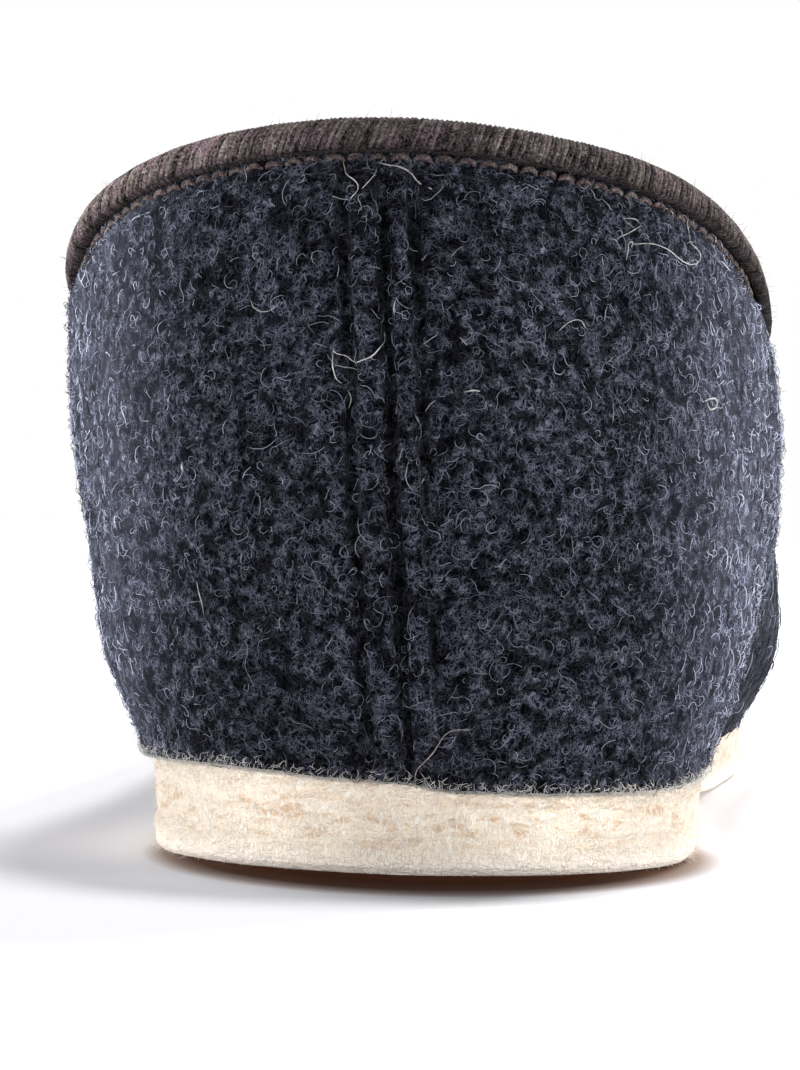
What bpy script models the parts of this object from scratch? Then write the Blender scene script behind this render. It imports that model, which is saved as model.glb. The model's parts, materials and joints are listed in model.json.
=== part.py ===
"""Right felt slipper with a closed heel: outsole, insole, upper and collar binding.

Metres, +Z up, toe towards +Y, the wearer's outer side towards +X.
The origin is on the floor, under the middle of the heel.
"""

import bisect
import math
from collections import namedtuple

import bmesh
import bpy
from mathutils import Vector

# Sole
SOLE_LENGTH = 0.262
BALL_WIDTH = 0.081
HEEL_WIDTH = 0.062
SOLE_THICKNESS = 0.0097
TOE_SPRING = 0.006
ARCH_LIFT = 0.0012
SOLE_EDGE_RELIEF = 0.0009
INSOLE_THICKNESS = 0.0035

# Upper, heights above the top of the sole. The collar leans to the inner side and tips up outside.
BACK_HEIGHT = 0.0704
SIDE_HEIGHT = 0.0515
THROAT_HEIGHT = 0.0650
THROAT_REACH = 0.131
FELT_WALL = 0.0040
UPPER_OVERHANG = 0.0010
UPPER_LEAN = 0.0047
COLLAR_TILT = 0.0008

# Heel seam: a centre join with a sewn row on each side
SEAM_ROW = 0.0043
SEAM_TROUGH = 0.0016
SEAM_JOIN_DEPTH = 0.0014
SEAM_ROW_DEPTH = 0.0010
SEAM_PUFF = 0.0005

# Knitted binding folded over the collar
BINDING_WALL = 0.0014
BINDING_COVER = 0.0040
BINDING_CROWN = 0.0026
FELT_PINCH = 0.0013
HEM = 0.0065
SHOULDER_STEP = 0.0005

# Clearance between pieces that touch
SEAT_GAP = 0.0003

# Mesh fineness
SIDE_COLUMNS = 38
OUTER_ROWS = 15
INNER_ROWS = 8
ROW_BUNCHING = 1.5  # above 1, rows are closer together by the sole
CROWN_STEPS = 6

HALF_HEEL = HEEL_WIDTH / 2
HALF_BALL = BALL_WIDTH / 2
SOLE_TOP = SOLE_THICKNESS + SEAT_GAP

# Outline of the sole. at: share of the sole's length from the heel. of_heel, of_ball: the half width
# as shares of the half heel and half ball width. centre: shift of the centre line, of the half ball.
Station = namedtuple("Station", "at of_heel of_ball centre")
OUTLINE = (
    Station(0.06, 0.88, 0.00, 0.00),
    Station(0.13, 1.00, 0.00, 0.00),
    Station(0.26, 0.80, 0.14, 0.02),
    Station(0.38, 0.50, 0.365, 0.03),
    Station(0.50, 0.25, 0.63, 0.035),
    Station(0.62, 0.00, 0.925, 0.02),
    Station(0.71, 0.00, 1.00, -0.005),
    Station(0.81, 0.00, 0.95, -0.05),
    Station(0.90, 0.00, 0.78, -0.10),
    Station(0.96, 0.00, 0.545, -0.13),
)
HEEL_RADIUS_SHARE = 1.00
TOE_RADIUS_SHARE = 0.80

# Loops of the upper above the sole, from the low bulge to the collar.
# rise, front_rise: share of the local collar height, at the sides and at the toe end.
# back: how far the loop stands behind the sole, of the half heel.
# front: share of the way from the throat to the toe. heel_radius, heel, ankle: of the half heel.
# waist, joint, toe, toe_radius: of the half ball. Widths are at LOOP_PLACES along the loop.
Loop = namedtuple(
    "Loop", "rise front_rise back front heel_radius heel ankle waist joint toe toe_radius"
)
LOOP_PLACES = (0.10, 0.25, 0.45, 0.65, 0.85)
LOOPS = (
    Loop(0.17, 0.14, 0.12, 1.012, 1.13, 1.11, 1.17, 0.93, 1.07, 0.99, 0.86),
    Loop(0.43, 0.37, 0.18, 0.90, 1.19, 1.13, 1.32, 1.03, 1.06, 0.88, 0.76),
    Loop(0.72, 0.67, 0.13, 0.50, 1.16, 1.05, 1.36, 1.03, 0.94, 0.66, 0.55),
    Loop(1.00, 1.00, 0.02, 0.00, 1.03, 0.89, 1.24, 1.02, 0.95, 0.69, 0.58),
)
COLLAR_DIP = 0.62  # where along the collar it is lowest

# Side of the sole. height: share of the thickness. out: stand-out, of the edge relief.
Edge = namedtuple("Edge", "height out")
SOLE_SIDE = (
    Edge(0.00, -1.0),
    Edge(0.09, 0.0),
    Edge(0.36, 0.4),
    Edge(0.46, -0.1),
    Edge(0.56, 0.3),
    Edge(0.90, 0.1),
    Edge(1.00, -0.4),
)

# Flat spots and bends of the sole's floor line, as shares of its length
ARCH_FROM, ARCH_TO = 0.32, 0.56
SPRING_FROM = 0.74

# Principled materials: base colour, roughness
DARK_FELT = ((0.035, 0.038, 0.052, 1.0), 0.95)
CREAM_FELT = ((0.72, 0.64, 0.53, 1.0), 0.95)
BROWN_KNIT = ((0.085, 0.068, 0.070, 1.0), 0.90)


def slope_at(rows, i):
    """Slope of a smooth curve at one of its rows; the shorter side counts for more."""
    last = len(rows) - 1
    before, here, after = rows[max(i - 1, 0)], rows[i], rows[min(i + 1, last)]
    if i in (0, last):
        return (after[1] - before[1]) / (after[0] - before[0])
    back, on = here[0] - before[0], after[0] - here[0]
    return ((here[1] - before[1]) / back * on + (after[1] - here[1]) / on * back) / (back + on)


def smooth(rows, place):
    """Height at a place on a smooth curve through (place, height) rows."""
    i = max(k for k in range(len(rows) - 1) if k == 0 or rows[k][0] <= place)
    (x0, y0), (x1, y1) = rows[i], rows[i + 1]
    span = x1 - x0
    u = (place - x0) / span
    start = y0 * (1 + 2 * u) * (1 - u) ** 2 + y1 * u * u * (3 - 2 * u)
    return start + span * (
        slope_at(rows, i) * u * (1 - u) ** 2 - slope_at(rows, i + 1) * u * u * (1 - u)
    )


def fade(value, low, high):
    """0 below low, 1 above high, smooth in between."""
    u = min(max((value - low) / (high - low), 0.0), 1.0)
    return u * u * (3 - 2 * u)


def end_fullness(radius, length):
    """Fullness of a loop where it closes with a round end of that radius."""
    return math.sqrt(radius * length / 2)


def fullness_rows(widths, first_radius, last_radius, length):
    """Rows (place, half width over the ellipse's own) for a loop, from its half widths."""
    rows = [(0.0, end_fullness(first_radius, length))]
    rows += [(at, width / (2 * math.sqrt(at * (1 - at)))) for at, width in widths]
    rows.append((1.0, end_fullness(last_radius, length)))
    return rows


SOLE_ROWS = fullness_rows(
    [(s.at, s.of_heel * HALF_HEEL + s.of_ball * HALF_BALL) for s in OUTLINE],
    HEEL_RADIUS_SHARE * HALF_HEEL,
    TOE_RADIUS_SHARE * HALF_BALL,
    SOLE_LENGTH,
)
CENTRE_ROWS = [(0.0, 0.0)] + [(s.at, s.centre * HALF_BALL) for s in OUTLINE]
SEAM_FULLNESS = end_fullness(HEEL_RADIUS_SHARE * HALF_HEEL, SOLE_LENGTH)
HEEL_CENTRE = 0.12 * SOLE_LENGTH


def floor_line(y):
    """Height of the sole's underside at y: flat heel, low arch, flat forefoot, toe spring."""
    at = y / SOLE_LENGTH
    arch = min(max((at - ARCH_FROM) / (ARCH_TO - ARCH_FROM), 0.0), 1.0)
    spring = max((at - SPRING_FROM) / (1 - SPRING_FROM), 0.0)
    return ARCH_LIFT * math.sin(math.pi * arch) ** 2 + TOE_SPRING * spring**2


def centre_line(y):
    at = min(max(y / SOLE_LENGTH, 0.0), 1.0)
    return smooth(CENTRE_ROWS, min(at, CENTRE_ROWS[-1][0]))


def along(angle):
    """Share of a loop's length at an angle round it: 0 at the heel, 1 at the toe."""
    return (1 - math.cos(angle)) / 2


def sole_point(angle, out=0.0):
    """Point of the sole's outline, moved out by a distance, with its height left at 0."""
    place = along(angle)
    y = place * SOLE_LENGTH
    x = smooth(SOLE_ROWS, place) * math.sin(angle)
    point = Vector((centre_line(y) + x, y, 0.0))
    if out:
        step = 1e-4
        run = sole_point(angle + step) - sole_point(angle - step)
        point += Vector((run.y, -run.x, 0.0)).normalized() * out
    return point


def collar_height(place):
    """Height of the collar above the sole, from the back, down to its dip, up to the throat."""
    if place < COLLAR_DIP:
        top, reach, u = BACK_HEIGHT, COLLAR_DIP, place / COLLAR_DIP
    else:
        top, reach, u = THROAT_HEIGHT, 1 - COLLAR_DIP, (1 - place) / (1 - COLLAR_DIP)
    drop = top - SIDE_HEIGHT
    return SIDE_HEIGHT + drop * ((1 + 2 * u) * (1 - u) ** 2 - u * (1 - u) ** 2)


def crossing(column, fullness, length):
    """Angle at which a column crosses a loop: it climbs steeply, and runs parallel to the seam."""
    gain = math.sqrt(SOLE_LENGTH / length) - 1
    steep = column + gain * math.sin(column)
    near = 1 - fade(abs(column), 0.14, 0.65)
    return steep + (column * SEAM_FULLNESS / fullness - steep) * near


def loop_rows(loop):
    """Start, end and fullness rows of one of the upper's loops."""
    start = -loop.back * HALF_HEEL
    end = THROAT_REACH + loop.front * (SOLE_LENGTH - THROAT_REACH)
    widths = (
        loop.heel * HALF_HEEL,
        loop.ankle * HALF_HEEL,
        loop.waist * HALF_BALL,
        loop.joint * HALF_BALL,
        loop.toe * HALF_BALL,
    )
    rows = fullness_rows(
        list(zip(LOOP_PLACES, widths)),
        loop.heel_radius * HALF_HEEL,
        loop.toe_radius * HALF_BALL,
        end - start,
    )
    return start, end, rows


LOOP_ROWS = [loop_rows(loop) for loop in LOOPS]


def lean(y, height):
    """How far the ankle part of the upper leans to the inner side at a height above the sole."""
    return -UPPER_LEAN * height / BACK_HEIGHT * (1 - fade(y, 0.45 * SOLE_LENGTH, 0.8 * SOLE_LENGTH))


def loop_point(level, column):
    """Point where a column of the upper crosses one of the loops."""
    loop, (start, end, rows) = LOOPS[level], LOOP_ROWS[level]
    angle = crossing(column, rows[0][1], end - start)
    place = along(angle)
    y = start + place * (end - start)
    rise = loop.rise + (loop.front_rise - loop.rise) * fade(place, 0.5, 1.0)
    height = rise * (collar_height(place) + COLLAR_TILT * math.sin(angle))
    x = centre_line(y) + smooth(rows, place) * math.sin(angle) + lean(y, height)
    return Vector((x, y, SOLE_TOP + floor_line(y) + height))


class Rib:
    """One column of the upper: its line from the sole to the collar's edge, and the hem there."""

    def __init__(self, column):
        self.column = column
        self.offset = column * SEAM_FULLNESS
        self.edge = loop_point(-1, column)
        step = 2e-3
        run = loop_point(-1, column + step) - loop_point(-1, column - step)
        self.out = run.cross(self.edge - loop_point(-2, column)).normalized()
        self.up = self.out.cross(run).normalized()
        self.walked, self.line = self.trace()
        self.length = self.walked[-1]
        self.sides = None

    def trace(self):
        """Smooth line through the sole's edge, the loops and the hem, with distances along it."""
        points = [sole_point(self.column, UPPER_OVERHANG)]
        points[0].z = SOLE_TOP + floor_line(points[0].y)
        points += [loop_point(level, self.column) for level in range(len(LOOPS) - 1)]
        points += [self.edge - self.up * HEM, self.edge]
        knots = [0.0]
        for a, b in zip(points, points[1:]):
            knots.append(knots[-1] + (b - a).length)
        axes = [list(zip(knots, (p[axis] for p in points))) for axis in range(3)]
        steps = 60
        line = [
            Vector([smooth(rows, knots[-1] * i / steps) for rows in axes])
            for i in range(steps + 1)
        ]
        walked = [0.0]
        for a, b in zip(line, line[1:]):
            walked.append(walked[-1] + (b - a).length)
        return walked, line

    def point(self, distance):
        """Point at a distance along the line, carried straight on past its ends."""
        last = len(self.walked) - 2
        i = min(max(bisect.bisect_right(self.walked, distance) - 1, 0), last)
        d0, d1 = self.walked[i], self.walked[i + 1]
        return self.line[i] + (self.line[i + 1] - self.line[i]) * ((distance - d0) / (d1 - d0))

    def outward(self, distance):
        """Direction straight out of the felt at a distance along the line."""
        if not self.sides:
            step = 2e-3
            self.sides = Rib(self.column - step), Rib(self.column + step)
        left, right = self.sides
        share = distance / self.length
        run = right.point(share * right.length) - left.point(share * left.length)
        step = 5e-4
        return run.cross(self.point(distance + step) - self.point(distance - step)).normalized()

    def wall(self, distance, depth):
        """Point at a depth into the felt from its smooth outer face; level at the sole."""
        out = self.outward(distance)
        level = Vector((out.x, out.y, 0.0)).normalized()
        out = level.lerp(out, fade(distance, 0.0, FELT_WALL)).normalized()
        return self.point(distance) - out * depth

    def hem(self, above, depth):
        """Point above or below the collar's edge, at a depth into the felt."""
        return self.edge + self.up * above - self.out * depth


def columns():
    """Columns round the upper, closer together at the heel seam, from the back to the toe and on."""
    half = SEAM_TROUGH / 2
    seam = [0.0, half, SEAM_ROW / 2, SEAM_ROW - half, SEAM_ROW, SEAM_ROW + half, SEAM_ROW + 3 * half]
    side = [offset / SEAM_FULLNESS for offset in seam]
    first = side[-1]
    side += [first + (math.pi - first) * i / SIDE_COLUMNS for i in range(1, SIDE_COLUMNS + 1)]
    return side + [-angle for angle in side[-2:0:-1]]


def seam_depth(offset):
    """How deep the felt is drawn in at a distance from the heel seam; its ridges puff out."""
    away = abs(offset)
    half = SEAM_TROUGH / 2
    join = SEAM_JOIN_DEPTH * max(1 - away / half, 0.0)
    row = SEAM_ROW_DEPTH * max(1 - abs(away - SEAM_ROW) / half, 0.0)
    puff = SEAM_PUFF * math.sin(math.pi * min(away / SEAM_ROW, 1.0))
    return join + row - puff


def material(name, look):
    colour, roughness = look
    made = bpy.data.materials.new(name)
    made.use_nodes = True
    shader = made.node_tree.nodes["Principled BSDF"]
    shader.inputs["Base Color"].default_value = colour
    shader.inputs["Roughness"].default_value = roughness
    shader.inputs["Metallic"].default_value = 0.0
    return made


def finish(name, mesh, look):
    """Named object from a bmesh, with its place in its mesh and its faces pointing out."""
    for vert in mesh.verts:
        vert.co.y -= HEEL_CENTRE
    bmesh.ops.recalc_face_normals(mesh, faces=mesh.faces)
    data = bpy.data.meshes.new(name)
    mesh.to_mesh(data)
    mesh.free()
    data.shade_smooth()
    data.set_sharp_from_angle(angle=math.radians(50))
    data.materials.append(material(name + "_finish", look))
    made = bpy.data.objects.new(name, data)
    bpy.context.scene.collection.objects.link(made)
    return made


def ring(mesh, points):
    return [mesh.verts.new(point) for point in points]


def skin(mesh, first, second):
    """Quads between two rings with the same number of vertices."""
    count = len(first)
    for i in range(count):
        j = (i + 1) % count
        mesh.faces.new((first[i], first[j], second[j], second[i]))


def ladder(mesh, loop):
    """Fills a ring of mirrored columns with strips from side to side, and returns the faces."""
    half = len(loop) // 2
    faces = [mesh.faces.new((loop[0], loop[1], loop[-1]))]
    for i in range(1, half - 1):
        faces.append(mesh.faces.new((loop[i], loop[i + 1], loop[-i - 1], loop[-i])))
    faces.append(mesh.faces.new((loop[half - 1], loop[half], loop[half + 1])))
    return faces


def slab(name, angles, edges, look, base):
    """Solid between stacked outlines. edges: (height, outline function), lowest first."""
    mesh = bmesh.new()
    rings = []
    for height, outline in edges:
        points = [outline(angle) for angle in angles]
        for point in points:
            point.z = base + height + floor_line(point.y)
        rings.append(ring(mesh, points))
    for lower, upper in zip(rings, rings[1:]):
        skin(mesh, lower, upper)
    under = ladder(mesh, rings[0])
    ladder(mesh, rings[-1])
    bmesh.ops.dissolve_limit(
        mesh,
        angle_limit=math.radians(0.02),
        verts=[],
        edges=list({edge for face in under for edge in face.edges}),
    )
    return finish(name, mesh, look)


def make_outsole(angles):
    def outline(out):
        return lambda angle: sole_point(angle, out * SOLE_EDGE_RELIEF)

    edges = [(edge.height * SOLE_THICKNESS, outline(edge.out)) for edge in SOLE_SIDE]
    return slab("outsole", angles, edges, CREAM_FELT, 0.0)


def make_insole(angles):
    inset = FELT_WALL + SEAT_GAP - UPPER_OVERHANG

    def outline(angle):
        return sole_point(angle, -inset)

    edges = [(0.0, outline), (INSOLE_THICKNESS, outline)]
    return slab("insole", angles, edges, CREAM_FELT, SOLE_TOP)


def make_upper(ribs):
    """Hollow felt shell, open at the collar and underneath, thinner where the binding grips it."""
    mesh = bmesh.new()
    shoulder = BINDING_COVER + SEAT_GAP
    inner_face = FELT_WALL - FELT_PINCH

    def row(share, depth):
        return [
            rib.wall((rib.length - shoulder - SHOULDER_STEP) * share, depth(rib)) for rib in ribs
        ]

    rings = [
        ring(mesh, row((i / OUTER_ROWS) ** ROW_BUNCHING, lambda rib: seam_depth(rib.offset)))
        for i in range(OUTER_ROWS + 1)
    ]
    hem = ((-shoulder, FELT_PINCH), (0.0, FELT_PINCH), (0.0, inner_face), (-shoulder, inner_face))
    for above, depth in hem:
        rings.append(ring(mesh, [rib.hem(above, depth) for rib in ribs]))
    for i in range(INNER_ROWS, -1, -1):
        rings.append(ring(mesh, row((i / INNER_ROWS) ** ROW_BUNCHING, lambda rib: FELT_WALL)))
    for lower, upper in zip(rings, rings[1:] + rings[:1]):
        skin(mesh, lower, upper)
    return finish("upper", mesh, DARK_FELT)


def binding_section():
    """Section of the binding as (across the wall from its middle, above the felt's edge)."""
    cavity = FELT_WALL / 2 - FELT_PINCH + SEAT_GAP
    shell = cavity + BINDING_WALL
    springing = SEAT_GAP + BINDING_WALL - BINDING_CROWN
    foot = 0.93 * shell
    section = [(foot, -BINDING_COVER)]
    for i in range(CROWN_STEPS + 1):
        turn = math.pi * i / CROWN_STEPS
        section.append((shell * math.cos(turn), springing + BINDING_CROWN * math.sin(turn)))
    section += [(-foot, -BINDING_COVER), (-cavity, -BINDING_COVER), (-cavity, SEAT_GAP)]
    section += [(cavity, SEAT_GAP), (cavity, -BINDING_COVER)]
    return section


def make_binding(ribs):
    mesh = bmesh.new()
    rings = []
    for across, above in binding_section():
        depth = FELT_WALL / 2 - across
        rings.append(ring(mesh, [rib.hem(above, depth) for rib in ribs]))
    for first, second in zip(rings, rings[1:] + rings[:1]):
        skin(mesh, first, second)
    return finish("collar_binding", mesh, BROWN_KNIT)


def main():
    for old in list(bpy.data.objects):
        bpy.data.objects.remove(old, do_unlink=True)
    angles = columns()
    ribs = [Rib(angle) for angle in angles]
    make_outsole(angles)
    make_insole(angles)
    make_upper(ribs)
    make_binding(ribs)


main()
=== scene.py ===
import bpy
import bmesh
import json
import math
import random
from mathutils import Matrix, Vector, noise
from mathutils.bvhtree import BVHTree
from mathutils.kdtree import KDTree

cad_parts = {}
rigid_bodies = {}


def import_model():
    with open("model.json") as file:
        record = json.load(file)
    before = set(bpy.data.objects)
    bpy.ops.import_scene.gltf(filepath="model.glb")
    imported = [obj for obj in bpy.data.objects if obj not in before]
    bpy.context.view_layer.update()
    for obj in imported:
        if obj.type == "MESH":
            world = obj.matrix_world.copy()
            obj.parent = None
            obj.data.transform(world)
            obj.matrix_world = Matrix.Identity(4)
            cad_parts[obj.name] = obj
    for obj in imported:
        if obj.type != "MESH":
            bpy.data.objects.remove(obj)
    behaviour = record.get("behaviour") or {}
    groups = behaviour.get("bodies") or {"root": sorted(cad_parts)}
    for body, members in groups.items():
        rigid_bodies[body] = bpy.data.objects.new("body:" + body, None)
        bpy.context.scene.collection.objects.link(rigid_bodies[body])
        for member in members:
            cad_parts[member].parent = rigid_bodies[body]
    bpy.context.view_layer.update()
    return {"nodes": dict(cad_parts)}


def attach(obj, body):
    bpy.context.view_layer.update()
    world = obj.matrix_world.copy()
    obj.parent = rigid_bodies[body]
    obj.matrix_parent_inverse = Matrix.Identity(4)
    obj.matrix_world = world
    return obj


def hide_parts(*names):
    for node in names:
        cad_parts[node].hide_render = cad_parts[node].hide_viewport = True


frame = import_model()
scene = bpy.context.scene
mm = 0.001
up = Vector((0, 0, 1))


# shared tools for numbers, meshes and pieces

def lump(point, size, seed=0.0):
    # soft noise from -1 to 1, with bumps about this size in metres
    return noise.noise(point / size + Vector((seed, seed * 1.7, -seed)))


def ease(x, low, high):
    t = min(max((x - low) / (high - low), 0.0), 1.0)
    return t * t * (3 - 2 * t)


def between(x, start, end):
    # 1 between the two ramps and 0 outside them
    return ease(x, *start) * (1 - ease(x, *end))


def bell(distance, width):
    return math.exp(-(distance / width) ** 2)


def addObject(name, data):
    added = bpy.data.objects.new(name, data)
    scene.collection.objects.link(added)
    return added


def meshOf(name, bm):
    mesh = bpy.data.meshes.new(name)
    bm.to_mesh(mesh)
    bm.free()
    return mesh


def placePiece(name, mesh, material):
    mesh.name = name
    mesh.shade_smooth()
    mesh.materials.clear()
    mesh.materials.append(material)
    piece = addObject(name, mesh)
    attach(piece, "root")
    return piece


def bakedMesh(piece):
    scene.view_layers[0].update()
    graph = bpy.context.evaluated_depsgraph_get()
    return bpy.data.meshes.new_from_object(piece.evaluated_get(graph), depsgraph=graph)


def surfaceFinder(piece):
    return BVHTree.FromPolygons([w.co for w in piece.data.vertices],
                                [tuple(p.vertices) for p in piece.data.polygons])


def triangleCount(piece):
    return sum(len(p.vertices) - 2 for p in piece.data.polygons)


copyValues = {
    "weld": 1e-5,           # metres within which the corners of loose triangles are merged
    "flatAngle": 70,        # degrees up to which two triangles are joined into one face
    "cornerAngle": 32,      # degrees past which an edge can be kept crisp
}


def smoothCopy(node, levels, corner=0.0):
    # a merged copy of a CAD node, with its triangles joined and its surface smoothed
    v = copyValues
    bm = bmesh.new()
    bm.from_mesh(frame["nodes"][node].data)
    bmesh.ops.remove_doubles(bm, verts=bm.verts, dist=v["weld"])
    flat = math.radians(v["flatAngle"])
    bmesh.ops.join_triangles(bm, faces=bm.faces, angle_face_threshold=flat, angle_shape_threshold=flat)
    if corner:
        crease = bm.edges.layers.float.new("crease_edge")
        for edge in bm.edges:
            if len(edge.link_faces) == 2 and edge.calc_face_angle() > math.radians(v["cornerAngle"]):
                edge[crease] = corner
    holder = addObject(node + "Smooth", meshOf(node + "Smooth", bm))
    finer = holder.modifiers.new("finer", "SUBSURF")
    finer.levels = finer.render_levels = levels
    baked = bakedMesh(holder)
    bpy.data.objects.remove(holder)
    bm = bmesh.new()
    bm.from_mesh(baked)
    bpy.data.meshes.remove(baked)
    bm.normal_update()
    return bm


# shared tools for materials

def feed(tree, socket, value):
    # joins a socket to an output, or sets it to a value
    if isinstance(value, bpy.types.NodeSocket):
        tree.links.new(value, socket)
    else:
        socket.default_value = value


def addNode(tree, kind, inputs=None, **settings):
    node = tree.nodes.new(kind)
    for name, value in settings.items():
        setattr(node, name, value)
    for name, value in (inputs or {}).items():
        feed(tree, node.inputs[name], value)
    return node


def newMaterial(name):
    material = bpy.data.materials.new(name)
    material.use_nodes = True
    return material, material.node_tree


def finishShader(tree, colour, surface, relief=None, bump=None):
    # gives the shader its colour, its other values and its relief, whose bump is a strength and a depth
    shader = tree.nodes["Principled BSDF"]
    tree.links.new(colour, shader.inputs["Base Color"])
    for name, value in surface.items():
        shader.inputs[name].default_value = value
    if relief is not None:
        strength, depth = bump
        raised = addNode(tree, "ShaderNodeBump", {"Height": relief, "Strength": strength, "Distance": depth})
        tree.links.new(raised.outputs["Normal"], shader.inputs["Normal"])


def maths(tree, operation, first, second=0.0):
    return addNode(tree, "ShaderNodeMath", {0: first, 1: second}, operation=operation).outputs[0]


def times(tree, first, second):
    return maths(tree, "MULTIPLY", first, second)


def addVectors(tree, first, second):
    return addNode(tree, "ShaderNodeVectorMath", {0: first, 1: second}, operation="ADD").outputs[0]


def scaleVector(tree, vector, amount):
    return addNode(tree, "ShaderNodeVectorMath", {0: vector, "Scale": amount}, operation="SCALE").outputs[0]


def splitVector(tree, vector):
    return addNode(tree, "ShaderNodeSeparateXYZ", {"Vector": vector}).outputs


def attribute(tree, name):
    return addNode(tree, "ShaderNodeAttribute", attribute_name=name).outputs["Fac"]


def remap(tree, value, low, high, toLow=0.0, toHigh=1.0, soft=True):
    node = addNode(tree, "ShaderNodeMapRange", {
        "Value": value, "From Min": low, "From Max": high, "To Min": toLow, "To Max": toHigh,
    }, interpolation_type="SMOOTHSTEP" if soft else "LINEAR")
    return node.outputs["Result"]


def blendColour(tree, factor, first, second):
    sides = [c if isinstance(c, bpy.types.NodeSocket) else (*c, 1) for c in (first, second)]
    return addNode(tree, "ShaderNodeMix", {0: factor, 6: sides[0], 7: sides[1]}, data_type="RGBA").outputs[2]


def colourRamp(tree, value, stops, reach=1.0):
    # a colour for values from 0 to the reach, through stops that are each a value and a colour
    share = value if reach == 1.0 else times(tree, value, 1 / reach)
    ramp = addNode(tree, "ShaderNodeValToRGB", {"Fac": share})
    elements = ramp.color_ramp.elements
    while len(elements) < len(stops):
        elements.new(0.5)
    for element, (position, colour) in zip(elements, stops):
        element.position = position / reach
        element.color = (*colour, 1)
    return ramp.outputs["Color"]


def millimetres(tree, stretch=(1, 1, 1)):
    # object coordinates counted in millimetres, stretched along an axis if wanted
    where = addNode(tree, "ShaderNodeTexCoord")
    sized = addNode(tree, "ShaderNodeMapping", {
        "Vector": where.outputs["Object"], "Scale": tuple(1000 * s for s in stretch),
    })
    return sized.outputs["Vector"]


def cloudNoise(tree, vector, scale, detail=2.0, roughness=0.5, shift=0.0, output="Fac"):
    if shift:
        vector = addVectors(tree, vector, (shift, shift * 0.6, -shift * 1.3))
    return addNode(tree, "ShaderNodeTexNoise", {
        "Vector": vector, "Scale": scale, "Detail": detail, "Roughness": roughness,
    }).outputs[output]


def curlyStrands(tree, vector, scale, width, shift):
    # thin wandering lines: where a noise crosses its middle value, broken into lengths by a second noise
    field = cloudNoise(tree, vector, scale, 1.0, 0.45, shift)
    off = maths(tree, "ABSOLUTE", maths(tree, "SUBTRACT", field, 0.5))
    line = remap(tree, off, 0.0, width, 1.0, 0.0)
    breaks = cloudNoise(tree, vector, scale * 0.7, 1.0, 0.5, shift + 31)
    return times(tree, line, remap(tree, breaks, 0.36, 0.56))


def loopedStrands(tree, vector, scale, width, shift):
    # thin lines of even width that close into small loops, broken in the same way
    moved = addVectors(tree, vector, (shift, -shift * 0.7, shift * 1.9))
    cells = addNode(tree, "ShaderNodeTexVoronoi", {"Vector": moved, "Scale": scale},
                    feature="DISTANCE_TO_EDGE")
    line = remap(tree, cells.outputs["Distance"], 0.0, width, 1.0, 0.0)
    breaks = cloudNoise(tree, vector, scale * 0.8, 1.0, 0.5, shift + 13)
    return times(tree, line, remap(tree, breaks, 0.40, 0.55))


# camera, floor and light

cameraValues = {
    "azimuth": 3.69,        # degrees round from straight behind
    "elevation": 0.60,
    "roll": 1.30,
    "distance": 0.454,
    "target": (-0.0017, -0.03, 0.0367),
    "focalPixels": 4203.5,  # in the 800 x 1070 frame
    "frameMiddle": (400, 535),
    "longSide": 1070,
    "sensor": 36.0,
    "clip": (0.01, 50),
}


def makeCamera(v):
    a, e, r = (math.radians(v[k]) for k in ("azimuth", "elevation", "roll"))
    back = Vector((math.sin(a) * math.cos(e), -math.cos(a) * math.cos(e), math.sin(e)))
    right = Vector((math.cos(a), math.sin(a), 0))
    above = back.cross(right)
    tiltedRight = right * math.cos(r) + above * math.sin(r)
    tiltedAbove = above * math.cos(r) - right * math.sin(r)
    data = bpy.data.cameras.new("slipperCamera")
    data.sensor_width = v["sensor"]
    data.lens = v["focalPixels"] / v["longSide"] * v["sensor"]
    data.clip_start, data.clip_end = v["clip"]
    camera = addObject("slipperCamera", data)
    turn = Matrix((tiltedRight, tiltedAbove, back)).transposed().to_4x4()
    camera.matrix_world = Matrix.Translation(Vector(v["target"]) + back * v["distance"]) @ turn
    scene.camera = camera


lightValues = {
    "backdrop": (1.0, 1.0, 1.0),         # what the camera sees behind the slipper
    "ambient": (0.055, 0.054, 0.057),    # what lights it from all round
    "suns": (  # name, direction it comes from, strength, spread in degrees, colour
        ("leftKey", (-0.30, 0.40, 1.0), 1.55, 12.0, (0.97, 0.98, 1.0)),
        ("overheadKey", (0.08, 0.42, 1.0), 1.6, 10.0, (1.0, 0.99, 0.98)),
        ("rightBack", (0.50, 1.20, 1.0), 3.6, 12.0, (1.0, 0.99, 0.98)),
    ),
    "softLights": (  # name, place, size in metres, watts
        ("rightLight", (0.85, 0.12, 0.055), 0.10, 7.7),
        ("leftLight", (-0.85, 0.12, 0.055), 0.10, 8.6),
        ("frontFill", (0.10, -1.15, 0.050), 0.10, 8.8),
    ),
    "aim": (0.0, 0.0, 0.03),
}


def addLamp(name, kind, energy, fromWhere, **settings):
    data = bpy.data.lights.new(name, kind)
    data.energy = energy
    for setting, value in settings.items():
        setattr(data, setting, value)
    lamp = addObject(name, data)
    lamp.rotation_euler = fromWhere.to_track_quat("Z", "Y").to_euler()
    return lamp


def makeLight(v):
    world = bpy.data.worlds.new("studioWorld")
    world.use_nodes = True
    tree = world.node_tree
    rays = addNode(tree, "ShaderNodeLightPath")
    seen = blendColour(tree, rays.outputs["Is Camera Ray"], v["ambient"], v["backdrop"])
    tree.links.new(seen, tree.nodes["Background"].inputs["Color"])
    scene.world = world
    for name, direction, strength, spread, colour in v["suns"]:
        addLamp(name, "SUN", strength, Vector(direction), angle=math.radians(spread), color=colour)
    for name, place, size, watts in v["softLights"]:
        lamp = addLamp(name, "AREA", watts, Vector(place) - Vector(v["aim"]), shape="DISK", size=size)
        lamp.location = place
    scene.view_settings.view_transform = "Standard"
    scene.view_settings.look = "None"


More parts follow.
